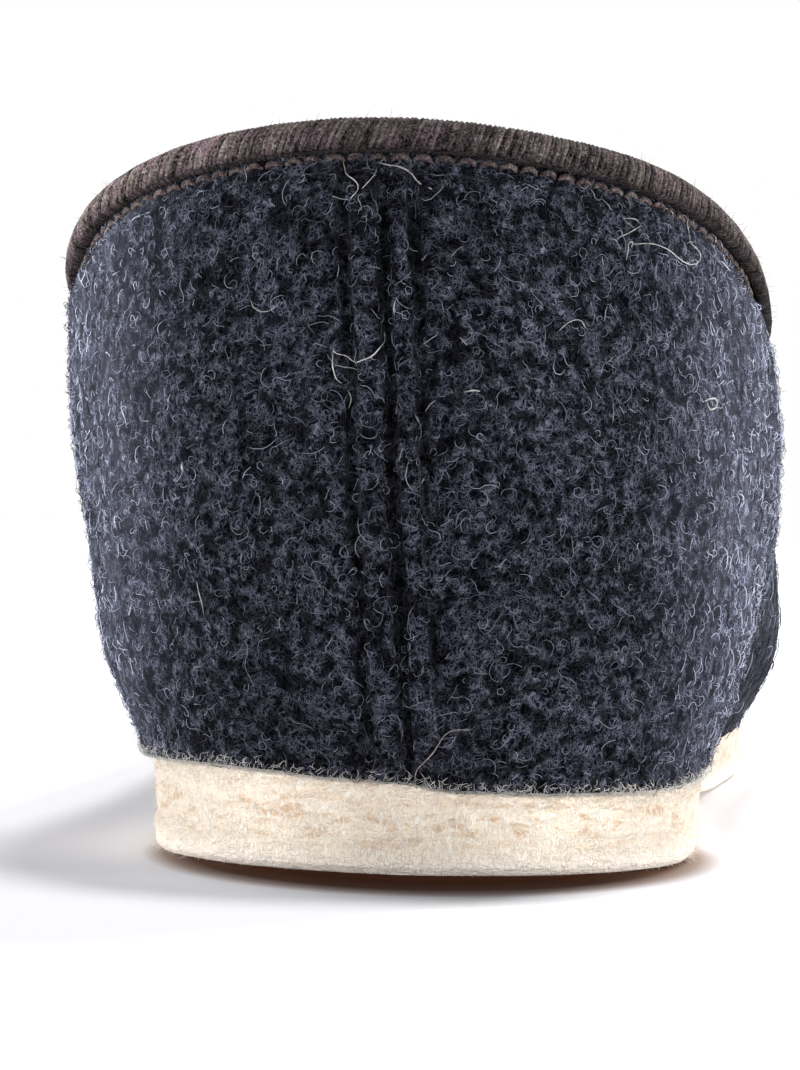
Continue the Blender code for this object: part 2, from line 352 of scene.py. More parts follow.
floorValues = {
    "size": 4.0,
    "colour": (0.87, 0.86, 0.885),
    # painted shadow: a dark warm shade painted on the floor round the heel, where the heel's shadow falls:
    # reach, colour
    "nearColours": (
        (0.72, (0.092, 0.039, 0.023)), (0.87, (0.155, 0.090, 0.066)), (0.95, (0.43, 0.345, 0.315)),
    ),
    "nearEnd": 1.03,
    "nearPlace": (0.0012, -0.001, 0.0),
    "nearSize": (0.0322, 0.0525),
    "rampReach": 2.0,
    "surface": {"Roughness": 0.9, "Specular IOR Level": 0.0},
}


def floorFinish(v):
    material, tree = newMaterial("paleFloor")
    where = addNode(tree, "ShaderNodeTexCoord")
    # painted shadow: the floor darkens towards the heel, by how far a point lies from it
    moved = addNode(tree, "ShaderNodeMapping", {
        "Vector": where.outputs["Object"], "Location": v["nearPlace"], "Scale": (*v["nearSize"], 1.0),
    }, vector_type="TEXTURE")
    reach = addNode(tree, "ShaderNodeVectorMath", {0: moved.outputs["Vector"]}, operation="LENGTH")
    stops = v["nearColours"] + ((v["nearEnd"], v["colour"]),)
    finishShader(tree, colourRamp(tree, reach.outputs["Value"], stops, v["rampReach"]), v["surface"])
    return material


def makeFloor(v):
    bm = bmesh.new()
    bmesh.ops.create_grid(bm, x_segments=2, y_segments=2, size=v["size"])
    floor = addObject("floor", meshOf("floor", bm))
    floor.data.materials.append(floorFinish(v))


makeCamera(cameraValues)
makeLight(lightValues)
makeFloor(floorValues)
print("camera, light and floor are ready")


# the upper's felt

upperValues = {
    "levels": 2,
    "corner": 0.7,
    "rearReach": 0.050,      # the heel is subdivided once more up to here
    "heart": (0, 0.035, 0.03),   # a point inside the heel that its outer faces look away from
    "middleLine": (-0.005, 0.15),  # the walls of the rest look away from this stretch of the foot's middle
    "lumps": ((0.0120, 0.30), (0.0045, 0.22), (0.0021, 0.20)),  # size in metres, height in millimetres
    "lumpFoot": (0.0102, 0.0125),  # they fade in over these heights
    "seamLean": -0.0047,
    "seamFoot": 0.010,
    "seamHeight": 0.0704,
    "seamWander": ((3, 0.012, 0.00035), (9, 0.003, 0.00012)),  # seed, length and width in metres
    "seamFront": -0.012,     # nothing of the seam lies in front of this
    "seamReach": 0.012,      # or further to the side than this
    "seamFade": (0.0105, 0.016),
    "rowOffset": 0.0043,
    "rowDepth": 0.50,        # millimetres
    "rowWidth": 0.00038,
    "stitch": (0.0042, 0.28, 0.8),  # length of one, share of the depth that it takes, lead of the right row
    "rightFill": (0.034, 0.054, 0.55),  # the right row is pulled less deep below these heights
    "fillWidth": 0.0009,
    "rightRow": -0.0008,     # the right row is sewn this much nearer to the join
    "rightRowPlace": (0.0002, 0.0019),  # how far inside the row that move is centred, and its width
    "joinDepth": 0.90,
    "joinWidth": 0.00032,
    "ridgePuff": 0.28,
    "ridgeWidth": 0.0013,
    "grooveShade": 0.88,     # painted shade: how much darker the felt is painted down in a groove
    "setBack": 0.28,         # the face of the felt under the nap
    # the hem's height along the back of the heel: place across and rise, in millimetres
    "hemLine": ((-30, 1.05), (-22, 1.15), (-15, 0.90), (-9, 0.40), (-2, 0.15), (6, -0.70), (16, -0.95),
                (25, -0.95), (33, -0.45)),
    "hemEnd": (0.004, 0.040),    # the line is level again past these places along the foot
    "lowest": 0.0099,        # nothing but the lap reaches lower
    "lowBand": (0.0100, 0.0240),
    "forefoot": ((0.010, 0.070), (0.150, 0.195)),
    "sideLap": 3.6,          # millimetres that it laps down beside the forefoot, where it also tucks in
    "sideTuck": 3.0,
    "innerSwell": 0.85,      # fullness low on the inner side of the heel
    "swellRamps": ((0.018, 0.031), (0.03, 0.07), (0.002, 0.016)),  # upwards, along the foot, to the side
    "rearRamps": ((-0.35, 0.15), (-0.085, -0.045)),  # what counts as the rear: facing back, and lying there
    "hairFoot": (0.0101, 0.0118),  # the rear's hair is thinner below these heights
    "hemRamps": ((0.0101, 0.0114), (-0.03, 0.004)),  # the hem's own hair: up to here, and this far round
    # painted side light: the paler ground that the heel's sides turn to
    "flankGround": (0.016, 0.017, 0.023),
    "flank": (23.0, 38.0, 2.35),  # painted side light: the nap is painted paler beyond this far out on the heel's sides
    "dark": (0.0005, 0.0006, 0.0014),
    "mid": (0.0050, 0.0057, 0.0098),
    "pale": (0.135, 0.143, 0.190),
    "clumpScale": 0.62,
    "swirl": (0.5, 2.4),     # scale of the noise that bends the strands, and its push in millimetres
    "strandLayers": (  # noise scale, line width, shift, weight
        (0.95, 0.019, 0.0, 1.0), (1.25, 0.022, 17.0, 0.9), (0.80, 0.016, 43.0, 1.0),
    ),
    "loopLayers": ((1.0, 0.048, 5.0, 1.0), (1.35, 0.060, 27.0, 0.85), (0.85, 0.040, 61.0, 1.0)),
    "bump": (0.8, 0.0004),
    "surface": {
        "Roughness": 0.95, "Specular IOR Level": 0.02, "Sheen Weight": 0.05, "Sheen Roughness": 0.3,
        "Sheen Tint": (0.75, 0.82, 1.0, 1),
    },
}


def hemRise(point):
    # how far the joint between the felt and the sole is raised at the heel, in metres
    v = upperValues
    line = v["hemLine"]
    x = max(line[0][0], min(line[-1][0], point.x / mm))
    for (x0, rise0), (x1, rise1) in zip(line, line[1:]):
        if x <= x1:
            return (rise0 + (rise1 - rise0) * ease(x, x0, x1)) * mm * (1 - ease(point.y, *v["hemEnd"]))
    return 0.0


def seamLine(point):
    # how far a point on the heel is to the side of the seam, in metres
    v = upperValues
    centre = v["seamLean"] * (point.z - v["seamFoot"]) / v["seamHeight"]
    wander = sum(width * lump(Vector((seed, 0, point.z)), size) for seed, size, width in v["seamWander"])
    return point.x - centre - wander


def seamRelief(point):
    # (height in millimetres, how deep in a groove from 0 to 1) beside the seam up the heel
    v = upperValues
    side = seamLine(point)
    if point.y > v["seamFront"] or abs(side) > v["seamReach"]:
        return 0.0, 0.0
    beyond = abs(side) - v["rowOffset"]
    row, join = bell(beyond, v["rowWidth"]), bell(side, v["joinWidth"])
    ridge = bell(abs(side) - 0.5 * v["rowOffset"], v["ridgeWidth"])
    low, high, fill = v["rightFill"]
    filled = fill * (1 - ease(point.z, low, high)) if side > 0 else 0.0
    long, share, lead = v["stitch"]
    stitch = 1 - share + share * math.cos(2 * math.pi * point.z / long + (lead if side > 0 else 0))
    sewn = row * stitch * (1 - filled)
    height = v["ridgePuff"] * ridge - v["rowDepth"] * sewn - v["joinDepth"] * join
    height += bell(beyond, v["fillWidth"]) * filled
    fadeOut = ease(point.z, *v["seamFade"])
    return height * fadeOut, min(1.0, sewn * 1.1 + join) * fadeOut


def flankPaleness(tree, place, flank):
    # painted side light: a factor of 1 over the back, rising on the two sides of the heel
    split = splitVector(tree, place)
    past = times(tree, maths(tree, "MAXIMUM", split["Y"], 0.0), 0.25)
    out = maths(tree, "SUBTRACT", maths(tree, "ABSOLUTE", split["X"]), past)
    return remap(tree, out, flank[0], flank[1], 1.0, flank[2])


def feltFinish(v, name):
    material, tree = newMaterial(name)
    place = millimetres(tree)
    scale, push = v["swirl"]
    swirl = addVectors(tree, cloudNoise(tree, place, scale, 2.0, 0.55, output="Color"), (-0.5, -0.5, -0.5))
    path = addVectors(tree, place, scaleVector(tree, swirl, push))
    strands = None
    for kind, layers in ((curlyStrands, v["strandLayers"]), (loopedStrands, v["loopLayers"])):
        for scale, width, shift, weight in layers:
            one = times(tree, kind(tree, path, scale, width, shift), weight)
            strands = one if strands is None else maths(tree, "MAXIMUM", strands, one)
    clumps = remap(tree, cloudNoise(tree, place, v["clumpScale"], 2.0, 0.55, 5.0), 0.38, 0.62)
    broad = remap(tree, cloudNoise(tree, place, 0.09, 2.0, 0.5, 11.0), 0.3, 0.7, 0.8, 1.2)
    # painted shade in the grooves of the seam
    ungrooved = maths(tree, "SUBTRACT", 1.0, times(tree, attribute(tree, "groove"), v["grooveShade"]))
    # painted side light on the heel's sides
    paler = flankPaleness(tree, place, v["flank"])
    ground = blendColour(tree, remap(tree, paler, 1.0, v["flank"][2], 0.0, 1.0, False),
                         blendColour(tree, clumps, v["dark"], v["mid"]), v["flankGround"])
    amount = times(tree, strands, remap(tree, clumps, 0.0, 1.0, 0.08, 1.0, False))
    haired = blendColour(tree, amount, ground, v["pale"])
    final = scaleVector(tree, haired, times(tree, times(tree, broad, ungrooved), paler))
    relief = maths(tree, "ADD", times(tree, strands, 0.5), times(tree, clumps, 0.8))
    finishShader(tree, final, v["surface"], relief, v["bump"])
    return material


def makeUpper(v):
    bm = smoothCopy("upper", v["levels"], v["corner"])
    heart = Vector(v["heart"])
    rear = []
    for face in bm.faces:
        middle = face.calc_center_median()
        if middle.y < v["rearReach"] and face.normal.dot((middle - heart).normalized()) > 0.1:
            rear.append(face)
    edges = list({e for f in rear for e in f.edges})
    bmesh.ops.subdivide_edges(bm, edges=edges, cuts=1, use_grid_fill=True)
    bm.normal_update()
    maps = ("groove", "rearHair", "flankHair", "hemHair", "farHair")
    groove, rearHair, flankHair, hemHair, farHair = (bm.verts.layers.float.new(name) for name in maps)
    moves = []
    for vert in bm.verts:
        p, n = vert.co, vert.normal
        aside = Vector((p.x, p.y - max(v["middleLine"][0], min(p.y, v["middleLine"][1])), 0)).normalized()
        outer = n.dot(aside) > 0
        height = sum(tall * lump(p, size, k * 7.3) for k, (size, tall) in enumerate(v["lumps"]))
        height = (height - v["setBack"]) * ease(p.z, *v["lumpFoot"])
        depth = nearer = 0.0
        if outer and n.y < 0.3:
            seam, depth = seamRelief(p)
            height += seam
            if p.y < v["seamFront"]:
                inside, width = v["rightRowPlace"]
                nearer = v["rightRow"] * bell(seamLine(p) - v["rowOffset"] + inside, width)
        low = 1 - ease(p.z, *v["lowBand"])
        beside = between(p.y, *v["forefoot"]) * low if outer else 0.0
        rising, along, aslant = v["swellRamps"]
        swell = v["innerSwell"] * (1 - ease(p.z, *rising)) * (1 - ease(p.y, *along)) * ease(-p.x, *aslant)
        outward = (swell if outer else 0.0) - v["sideTuck"] * beside ** 2
        drape = (aside * outward - up * v["sideLap"] * beside) * mm + Vector((nearer, 0, hemRise(p) * low))
        facing, lying = v["rearRamps"]
        toRear = ease(-n.y, *facing) * ease(-p.y, *lying) if outer else 0.0
        thick = (1 - 0.85 * depth) * (0.72 + 0.5 * lump(p, 0.004, 21) + 0.35 * lump(p, 0.0019, 27))
        rest = (1 - toRear) if outer else 0.12
        moves.append((n * height * mm + drape, depth, toRear * max(0.15, thick), rest))
    hemTop, hemRound = v["hemRamps"]
    for vert, (move, depth, rear, far) in zip(bm.verts, moves):
        above = vert.co.z
        vert.co.z = max(vert.co.z + move.z, v["lowest"] + min(0.0, move.z))
        vert.co.xy += move.xy
        vert[groove] = depth
        rear *= 0.3 + 0.7 * ease(above, *v["hairFoot"])
        vert[rearHair] = rear
        hem = (1 - ease(above, *hemTop)) * (0.05 + 0.95 * ease(-vert.co.y, *hemRound))
        vert[hemHair] = hem if far > 0.13 or rear > 0.03 else 0.0
        vert[flankHair] = rear * (0.55 + 0.9 * ease(abs(vert.normal.x), 0.45, 0.85))
        vert[farHair] = far
    piece = placePiece("upperFelt", meshOf("upperFelt", bm), feltFinish(v, "boiledWoolFelt"))
    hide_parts("upper")
    return piece


upperFelt = makeUpper(upperValues)
print("upper felt:", len(upperFelt.data.polygons), "faces")


# the sole and the footbed

soleValues = {
    "levels": 2,
    "corner": 0.8,
    "lumps": ((0.0150, 0.12), (0.0050, 0.09), (0.0022, 0.08)),
    "layerHeight": 0.0026,
    "layerDepth": 0.05,
    "backRamp": (-0.03, 0.004),      # how far round the heel the fine hairs reach
    "topRamp": (0.0076, 0.0090),     # the heights over which the hair of the top edge begins
    "rimRamp": (0.0008, 0.0016),     # and over which that of the lower rim ends
    "forefoot": ((0.015, 0.070), (0.150, 0.200)),
    "drawnIn": 0.045,                # share by which the sole is narrower beside the forefoot, under the hem
    "riseRamp": (0.0045, 0.0092),    # the heights over which the sole follows the hem's line
    "cream": (0.84, 0.74, 0.61),
    "shadowed": (0.74, 0.61, 0.475),
    "tan": (0.57, 0.39, 0.24),
    "bright": (0.86, 0.82, 0.75),
    # the pale colour that the lower edge is painted towards, as painted light
    "foot": (0.99, 0.92, 0.83),
    "footPaleness": 0.9,     # painted light: the lower edge, turned down into shade, is painted paler
    "backBoost": 1.15,       # painted light: the back is painted paler too
    # painted shade: the sides are painted darker
    "sideShade": 0.86,
    "layered": 0.9,          # how deep the layers show in the relief
    "plain": 0.3,
    "bump": (0.9, 0.0004),
    "surface": {
        "Roughness": 0.95, "Specular IOR Level": 0.05, "Sheen Weight": 0.1, "Sheen Roughness": 0.5,
    },
}


def soleFinish(v, name, layered):
    material, tree = newMaterial(name)
    place = millimetres(tree)
    long = cloudNoise(tree, millimetres(tree, (0.22, 0.22, 1.0)), 1.9, 3.0, 0.6)
    fine = cloudNoise(tree, place, 2.6, 3.0, 0.65, 9.0)
    upright = millimetres(tree, (1.0, 1.0, 0.4))
    strands = maths(tree, "MAXIMUM", curlyStrands(tree, upright, 1.0, 0.040, 3.0),
                    maths(tree, "MAXIMUM", curlyStrands(tree, upright, 1.7, 0.050, 33.0),
                          curlyStrands(tree, place, 1.5, 0.050, 21.0)))
    split = splitVector(tree, place)
    mixed = blendColour(tree, remap(tree, long, 0.36, 0.62), v["shadowed"], v["cream"])
    spots = cloudNoise(tree, millimetres(tree, (0.30, 0.30, 0.9)), 0.9, 3.0, 0.6, 41.0)
    band = times(tree, remap(tree, split["Z"], 2.0, 5.0), remap(tree, split["Z"], 7.6, 9.0, 1.0, 0.0))
    spotted = times(tree, remap(tree, spots, 0.50, 0.66, 0.0, 0.9), band)
    base = blendColour(tree, spotted, mixed, v["tan"])
    speckled = blendColour(tree, remap(tree, fine, 0.5, 0.78, 0.0, 0.6), base, v["bright"])
    haired = blendColour(tree, times(tree, strands, 0.8), speckled, v["bright"])
    across = maths(tree, "ABSOLUTE", split["X"])
    # painted light and shade: paler over the back, darker on the sides
    shaded = scaleVector(tree, haired, remap(tree, across, 14.0, 28.0, v["backBoost"], v["sideShade"]))
    # painted light on the lower edge
    low = remap(tree, split["Z"], 0.4, 3.4, v["footPaleness"], 0.0)
    relief = maths(tree, "ADD", times(tree, long, v["layered"] if layered else v["plain"]),
                   maths(tree, "ADD", times(tree, fine, 0.6), times(tree, strands, 0.25)))
    finishShader(tree, blendColour(tree, low, shaded, v["foot"]), v["surface"], relief, v["bump"])
    return material


def makeFeltSlab(v, node, name, layered):
    bm = smoothCopy(node, v["levels"], v["corner"])
    ground = min(vert.co.z for vert in bm.verts)
    edgeHair, topHair, rimHair = (bm.verts.layers.float.new(m) for m in ("edgeHair", "topHair", "rimHair"))
    moves = []
    for vert in bm.verts:
        p, n = vert.co, vert.normal
        side = 1 - abs(n.z)
        atBack = 0.06 + 0.94 * ease(-p.y, *v["backRamp"])
        vert[topHair] = ease(p.z, *v["topRamp"]) * side * atBack
        vert[rimHair] = (1 - ease(p.z, *v["rimRamp"])) * ease(side, 0.15, 0.5) * atBack
        rim = max(ease(p.z, 0.0070, 0.0095), ease(-p.z, -0.0028, -0.0012) * 1.6)
        edge = (0.35 + rim) * side * (1.0 if p.y < 0.05 else 0.4)
        vert[edgeHair] = edge if layered and p.z > 0.0009 else 0.0
        height = sum(tall * lump(p, size, 3 + k * 5.1) for k, (size, tall) in enumerate(v["lumps"]))
        if layered:
            wave = math.cos(2 * math.pi * p.z / v["layerHeight"] + 1.5 * lump(p, 0.02, 8))
            height -= v["layerDepth"] * (0.5 + 0.5 * wave) * side
        moves.append(n * height * mm * (0.25 + 0.75 * side))
    for vert, move in zip(bm.verts, moves):
        if layered:
            vert.co.x *= 1 - v["drawnIn"] * between(vert.co.y, *v["forefoot"])
            vert.co.z += hemRise(vert.co) * ease(vert.co.z, *v["riseRamp"])
        vert.co += move
        vert.co.z = max(vert.co.z, ground)
    piece = placePiece(name, meshOf(name, bm), soleFinish(v, name + "Finish", layered))
    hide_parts(node)
    return piece


soleFelt = makeFeltSlab(soleValues, "outsole", "soleFelt", True)
insoleFelt = makeFeltSlab(soleValues, "insole", "insoleFelt", False)
print("sole and footbed:", len(soleFelt.data.polygons), len(insoleFelt.data.polygons), "faces")


# the binding round the collar

knitValues = {
    "bump": (0.8, 0.0002),
    "surface": {
        "Roughness": 0.95, "Specular IOR Level": 0.04, "Sheen Weight": 0.04, "Sheen Roughness": 0.4,
        "Sheen Tint": (1.0, 0.92, 0.9, 1),
    },
}

bindingValues = {
    "levels": 2,
    "middle": (-0.002, 0.036),   # the point that the collar is counted round
    "samples": 240,
    "ribPitch": 0.00053,
    "ribRadius": 0.00027,
    "ribSlant": 0.0042,
    "ribRise": -0.25,
    "tuck": (-0.0015, 0.0009),   # painted shade: the knit is painted darker from the upper of these heights down to the lower
    "tuckedShade": 0.22,         # painted shade: down to this share of its colour
    "outerRise": 0.0007,         # the rim stands this much higher towards the outer side of the heel
    "riseRamps": ((0.012, 0.032), (0.005, 0.060)),  # across, and along the foot
    "lowEdge": 0.0011,           # how far below the ring's middle the outer wall ends
    "lumps": ((0.0035, 2, 0.10), (0.0012, 6, 0.07)),  # size in metres, seed, height in millimetres
    "setBack": 0.16,
    "ribSteps": 13,
    "sweep": (-70, 250),         # degrees of the turn over the edge, from outside to inside, where it is met
    "innerPaleness": 2.1,        # painted light: the knit is painted paler on the inner side
    "dark": (0.0022, 0.0014, 0.0018),
    "mid": (0.111, 0.079, 0.090),
    "olive": (0.098, 0.083, 0.074),
    "pale": (0.38, 0.32, 0.31),
}


def collarPath(bm, v):
    # a smooth ring of points inside the binding, evenly spaced along its length
    cx, cy = v["middle"]
    count = v["samples"]
    found = [[] for _ in range(count)]
    for vert in bm.verts:
        turn = math.atan2(vert.co.y - cy, vert.co.x - cx) / (2 * math.pi) % 1.0
        found[int(turn * count) % count].append(vert.co)
    ring = []
    for k in range(count):
        near = [p for j in range(-2, 3) for p in found[(k + j) % count]]
        ring.append(sum(near, Vector()) / len(near))
    for _ in range(4):
        ring = [(ring[k - 1] + 2 * ring[k] + ring[(k + 1) % count]) / 4 for k in range(count)]
    return ring


class Collar:
    def __init__(self, ring):
        self.ring = ring
        self.finder = KDTree(len(ring))
        for k, point in enumerate(ring):
            self.finder.insert(point, k)
        self.finder.balance()
        self.steps = [0.0]
        for k in range(len(ring)):
            self.steps.append(self.steps[-1] + (ring[(k + 1) % len(ring)] - ring[k]).length)
        self.length = self.steps[-1]
        self.middle = sum(ring, Vector()) / len(ring)

    def near(self, place):
        return self.at(self.steps[self.finder.find(place)[1]])

    def offset(self, place):
        # how far outward and upward of the ring a place lies
        point, along, outward, upward = self.near(place)
        return (place - point).dot(outward), (place - point).dot(upward)

    def at(self, s):
        # (point, along, outward, upward) at a distance round the collar
        s %= self.length
        low, high = 0, len(self.ring)
        while high - low > 1:
            half = (low + high) // 2
            if self.steps[half] <= s:
                low = half
            else:
                high = half
        n = len(self.ring)
        t = (s - self.steps[low]) / (self.steps[low + 1] - self.steps[low])
        a, b = self.ring[low], self.ring[(low + 1) % n]
        before, after = self.ring[low - 1], self.ring[(low + 2) % n]
        point = a.lerp(b, t)
        along = (b - before).lerp(after - a, t).normalized()
        upward = (up - along * up.dot(along)).normalized()
        outward = along.cross(upward)
        if outward.dot(point - self.middle) < 0:
            outward = -outward
        return point, along, outward, upward


def knitFinish(v, name):
    material, tree = newMaterial(name)
    place = millimetres(tree)
    blot = cloudNoise(tree, place, 0.55, 2.0, 0.6, 4.0)
    fine = cloudNoise(tree, place, 3.2, 3.0, 0.65, 13.0)
    strands = maths(tree, "MAXIMUM", curlyStrands(tree, place, 1.9, 0.06, 2.0),
                    curlyStrands(tree, place, 2.6, 0.07, 37.0))
    mixed = maths(tree, "ADD", times(tree, blot, 0.38),
                  maths(tree, "ADD", times(tree, fine, 0.8), times(tree, attribute(tree, "shade"), 0.20)))
    tint = blendColour(tree, remap(tree, cloudNoise(tree, place, 0.42, 1.0, 0.5, 23.0), 0.4, 0.6),
                       v["mid"], v["olive"])
    base = blendColour(tree, remap(tree, mixed, 0.50, 0.86), v["dark"], tint)
    amount = times(tree, strands, remap(tree, mixed, 0.5, 1.0, 0.15, 0.85))
    haired = blendColour(tree, amount, base, v["pale"])
    # painted light, paler towards the inner side
    innerLit = remap(tree, splitVector(tree, place)["X"], -35.0, -6.0, v["innerPaleness"], 1.0)
    # the light attribute holds painted shade where the binding turns under
    dimmed = scaleVector(tree, haired, times(tree, attribute(tree, "light"), innerLit))
    relief = maths(tree, "ADD", times(tree, fine, 0.7), times(tree, strands, 0.5))
    finishShader(tree, dimmed, knitValues["surface"], relief, knitValues["bump"])
    return material


def tubeShape(sides, steps):
    # a plain closed tube of unit radius, one ring to a step, to be bent along a path
    bm = bmesh.new()
    ring = bmesh.ops.create_circle(bm, segments=sides, radius=1.0)["verts"]
    edges = list({e for vert in ring for e in vert.link_edges})
    firstEdges = edges
    for _ in range(steps - 1):
        grown = bmesh.ops.extrude_edge_only(bm, edges=edges)["geom"]
        fresh = [g for g in grown if isinstance(g, bmesh.types.BMVert)]
        edges = [g for g in grown if isinstance(g, bmesh.types.BMEdge) and all(w in fresh for w in g.verts)]
        bmesh.ops.translate(bm, verts=fresh, vec=up)
    bmesh.ops.contextual_create(bm, geom=firstEdges)
    bmesh.ops.contextual_create(bm, geom=edges)
    bmesh.ops.recalc_face_normals(bm, faces=bm.faces)
    return meshOf("tubeShape", bm)


def tuckedLight(out, height, v):
    # painted shade: 1 over the rim of the binding and inside it, and dimmer where its outer wall turns under
    low = v["tuckedShade"]
    return low + (1 - low) * ease(height, *v["tuck"]) if out > 0 else 1.0


def bendTube(bm, shape, path, radii, facing=None, flatten=1.0):
    # adds the tube to a bmesh with its rings set square to the path, and returns its vertices
    turns = []
    side = up
    for k in range(len(path)):
        ahead = (path[min(k + 1, len(path) - 1)] - path[max(k - 1, 0)]).normalized()
        side = facing[k] if facing else side
        side = side - ahead * side.dot(ahead)
        if side.length < 1e-6:
            side = ahead.orthogonal()
        side.normalize()
        across, over = ahead.cross(side) * -radii[k], side * radii[k] * flatten
        turns.append(Matrix((across, over, ahead * 0)).transposed())
    before = len(bm.verts)
    bm.from_mesh(shape)
    bm.verts.ensure_lookup_table()
    fresh = bm.verts[before:]
    for vert in fresh:
        k = round(vert.co.z)
        vert.co = path[k] + turns[k] @ vert.co
    return fresh


def makeBinding(v):
    bm = smoothCopy("collar_binding", v["levels"])
    across, lengthways = v["riseRamps"]
    for vert in bm.verts:
        vert.co.z += v["outerRise"] * ease(vert.co.x, *across) * (1 - ease(vert.co.y, *lengthways))
    collar = Collar(collarPath(bm, v))
    for vert in bm.verts:
        point, along, outward, upward = collar.near(vert.co)
        out, height = (vert.co - point).dot(outward), (vert.co - point).dot(upward)
        if out > 0.6 * mm and height < -v["lowEdge"]:  # the outer wall is drawn up, clear of its stitches
            over = -v["lowEdge"] - height
            vert.co += upward * over * 0.85 - outward * min(over * 0.5, 0.6 * mm)
    bm.normal_update()
    tree = BVHTree.FromBMesh(bm)
    fuzz = bm.verts.layers.float.new("fuzz")
    light = bm.verts.layers.float.new("light")
    moves = []
    for vert in bm.verts:
        height = sum(tall * lump(vert.co, size, seed) for size, seed, tall in v["lumps"]) - v["setBack"]
        moves.append(vert.normal * height * mm)
    for vert, move in zip(bm.verts, moves):
        point, along, outward, upward = collar.near(vert.co)
        away = (vert.co - point).normalized()
        vert[fuzz] = 1.0 if vert.normal.dot(away) > 0.2 and away.dot(upward) > -0.4 else 0.0
        vert.co += move
        # painted shade where the outer wall turns under
        vert[light] = tuckedLight((vert.co - point).dot(outward), (vert.co - point).dot(upward), v)
    finish = knitFinish(v, "ribbedKnit")
    base = placePiece("collarBinding", meshOf("collarBinding", bm), finish)
    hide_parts("collar_binding")
    return base, collar, tree, finish


collarBinding, collar, bindingSurface, knit = makeBinding(bindingValues)
print("collar binding:", len(collarBinding.data.polygons), "faces, length", round(collar.length / mm), "mm")


def bindingAt(s, turn):
    # (place, normal) on the binding at a distance round the collar and a turn over its edge
    point, along, outward, upward = collar.at(s)
    aim = outward * math.cos(turn) + upward * math.sin(turn)
    hit, normal, _, _ = bindingSurface.ray_cast(point + aim * 0.012, -aim, 0.0119)
    if hit is None:
        return None, None
    return hit, normal if normal.dot(aim) > 0 else -normal


def metTurns(v, stations=72):
    # the first and the last turn at which the binding is met, smoothed round the collar
    spans = []
    for k in range(stations):
        met = [a for a in range(v["sweep"][0], v["sweep"][1], 3)
               if bindingAt(collar.length * k / stations, math.radians(a))[0] is not None]
        spans.append((met[0] + 4, met[-1] - 4))
    return [tuple(sum(spans[(k + j) % stations][i] for j in (-1, 0, 1)) / 3 for i in (0, 1))
            for k in range(stations)]


def makeRibs(v):
    rng = random.Random(4)
    bm = bmesh.new()
    shade = bm.verts.layers.float.new("shade")
    light = bm.verts.layers.float.new("light")
    steps = v["ribSteps"]
    shape = tubeShape(5, steps)
    spans = metTurns(v)
    total = round(collar.length / v["ribPitch"])
    for k in range(total):
        start = collar.length * k / total + rng.uniform(-0.12, 0.12) * v["ribPitch"]
        low, high = spans[round(k / total * len(spans)) % len(spans)]
        lean = v["ribSlant"] * rng.uniform(0.8, 1.2)
        path, facing, radii = [], [], []
        for j in range(steps):
            t = j / (steps - 1)
            hit, normal = bindingAt(start + lean * (t - 0.5), math.radians(low + (high - low) * t))
            if hit is None:
                hit, normal = path[-1] if path else None, facing[-1] if facing else None
            if hit is None:
                break
            size = v["ribRadius"] * (1 + 0.15 * math.sin(start * 900 + j * 2.1)) * rng.uniform(0.9, 1.1)
            if j in (0, steps - 1):
                size *= 0.5
            slip = collar.at(start)[1] * rng.uniform(-0.06, 0.06) * mm
            path.append(hit + normal * size * v["ribRise"] + slip)
            facing.append(normal)
            radii.append(size)
        if len(path) < steps:
            continue
        value = rng.random()
        for vert in bendTube(bm, shape, path, radii, facing, 0.8):
            vert[shade] = value
            out, height = collar.offset(vert.co)
            # painted shade where the rib turns under
            vert[light] = tuckedLight(out, height - 0.00015 * lump(vert.co, 0.002, 3), v)
    bpy.data.meshes.remove(shape)
    piece = placePiece("collarRibs", meshOf("collarRibs", bm), knit)
    return piece


collarRibs = makeRibs(bindingValues)
print("collar ribs:", len(collarRibs.data.polygons), "faces")


# loose fibres

fibreValues = {
    "kinds": 28,
    "steps": 7,
    "thickness": (0.027, 0.041),
    "rearSets": (  # map, length in millimetres, turn per millimetre, rise, fibres to a square metre
        ("rearHair", (1.9, 3.6), 1.35, (0.12, 0.45), 320000),
        ("rearHair", (1.2, 2.5), 1.9, (0.12, 0.45), 325000),
        ("flankHair", (0.9, 2.0), 2.0, (0.25, 0.70), 315000),
    ),
    "farKinds": 16,
    "farSteps": 8,
    "farLength": (3.0, 5.5),
    "farThickness": (0.05, 0.07),
    "farBend": 0.9,
    "farRise": (0.15, 0.50),
    "farDensity": 50000,
    "sizes": (0.8, 1.2),
    "shades": (0.0, 1.0),
    "ground": 0.05 * mm,     # nothing reaches lower than this over the floor
    "colours": ((0.0, (0.0008, 0.0009, 0.0022)), (0.38, (0.009, 0.0094, 0.0165)),
                (0.75, (0.174, 0.185, 0.245)), (1.0, (0.31, 0.325, 0.395))),
    "surface": {"Roughness": 0.8, "Specular IOR Level": 0.1, "Sheen Weight": 0.03},
}


def fibreFinish(name, colours, sheenTint=(0.8, 0.85, 1.0), flank=None):
    material, tree = newMaterial(name)
    place = millimetres(tree)
    mottle = maths(tree, "SUBTRACT", cloudNoise(tree, place, 1.4, 2.0, 0.5, 2.0), 0.5)
    shifted = maths(tree, "ADD", attribute(tree, "shade"), times(tree, mottle, 0.35))
    colour = colourRamp(tree, shifted, colours)
    # the loose wool gets the same painted side light on the heel's sides
    if flank:
        colour = scaleVector(tree, colour, flankPaleness(tree, place, flank))
    finishShader(tree, colour, {**fibreValues["surface"], "Sheen Tint": (*sheenTint, 1)})
    return material


def addToGroup(group, shape, path, radii):
    # one more fibre, bent along its path, for a hidden collection
    bm = bmesh.new()
    bendTube(bm, shape, path, radii)
    bmesh.ops.recalc_face_normals(bm, faces=bm.faces)
    name = group.name + str(len(group.objects))
    group.objects.link(bpy.data.objects.new(name, meshOf(name, bm)))


